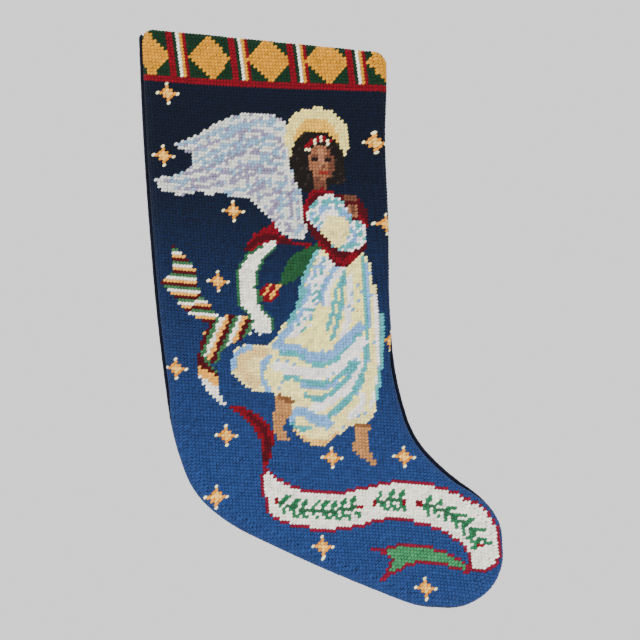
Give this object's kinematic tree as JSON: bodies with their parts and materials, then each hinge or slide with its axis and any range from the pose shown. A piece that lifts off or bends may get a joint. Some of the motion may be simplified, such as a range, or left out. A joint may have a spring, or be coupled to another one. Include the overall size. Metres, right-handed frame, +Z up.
{
  "type": "hanging stocking",
  "caption": "Boot-shaped hanging stocking with a hand-stitched wool front, velvet back, corded side seam, lined pocket and a sewn hanging loop.",
  "frame": {"origin": "the point the stocking hangs from: the sewn root of the hanging loop, inside the mouth at the heel-side corner, on the plane of the side seam", "axes": "+Z up along the leg, +X towards the toe, -Y out of the stitched front, +Y out of the flat velvet back"},
  "size_m": [0.2885, 0.022, 0.4592],
  "materials": {
    "wool": "tent-stitched tapestry wool, matt and slightly fuzzy",
    "canvas": "stiff cotton mesh",
    "velvet": "short dark navy pile",
    "interlining": "brushed cotton",
    "lining": "navy sateen",
    "piping_cord": "twisted cotton",
    "thread": "sewing thread"
  },
  "bodies": {
    "stocking": {"wool_border": "wool", "wool_picture": "wool", "canvas_panel": "canvas", "front_interlining": "interlining", "front_lining": "lining", "velvet_back": "velvet", "back_interlining": "interlining", "back_lining": "lining", "piping_cover": "velvet", "piping_core": "piping_cord", "seam_thread": "thread", "hem_stitches": "thread", "loop_tails": "velvet", "loop_tacks": "thread"},
    "loop": {"hanging_loop": "velvet"}
  },
  "joints": [
    {"name": "loop_fold", "type": "hinge", "parent": "stocking", "child": "loop", "pos_m": [0, -0.0015, 0], "axis": [0, -1, 0], "range_deg": [0, 180]}
  ]
}
